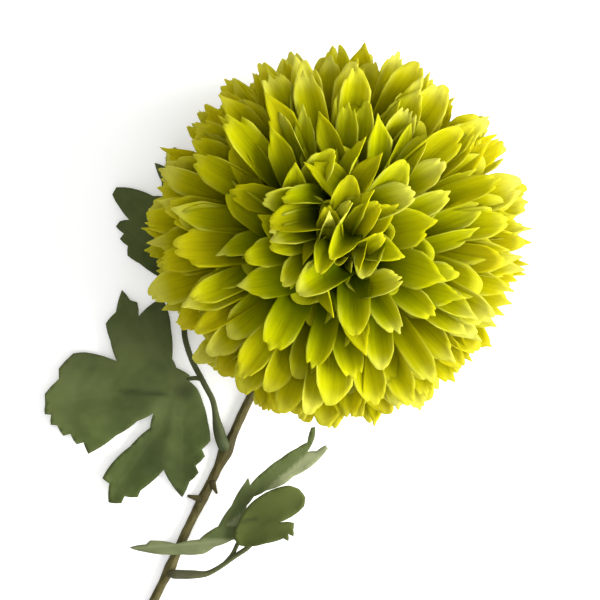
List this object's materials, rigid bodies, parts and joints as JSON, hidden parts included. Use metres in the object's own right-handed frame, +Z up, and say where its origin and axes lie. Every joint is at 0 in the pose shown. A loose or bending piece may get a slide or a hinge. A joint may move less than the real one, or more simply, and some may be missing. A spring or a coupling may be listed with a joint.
{
  "type": "chrysanthemum flower",
  "caption": "Cut chrysanthemum laid down: a full globe of spoon-shaped petals facing up on a bent stem, with lobed leaves.",
  "frame": {"origin": "middle of the flower's outline on the surface that it lies on", "axes": "+Z up from that surface, +Y along the flower from the cut end to the bloom"},
  "size_m": [0.1804, 0.2826, 0.0934],
  "materials": {
    "petal": "soft matte petals, olive green at the root, yellow green with pale tips",
    "calyx": "matte green bracts",
    "stem": "matte brown olive with fine ridges",
    "leaf_stalk": "matte olive green",
    "leaf": "matte dark green with fine veins, paler underneath"
  },
  "bodies": {
    "root": {"bloom": "petal", "calyx": "calyx", "stem": "stem", "leaf_stalk_upper": "leaf_stalk", "leaf_stalk_lower": "leaf_stalk", "leaf_side": "leaf", "leaf_behind": "leaf", "leaf_front": "leaf", "leaf_folded": "leaf"}
  },
  "joints": []
}
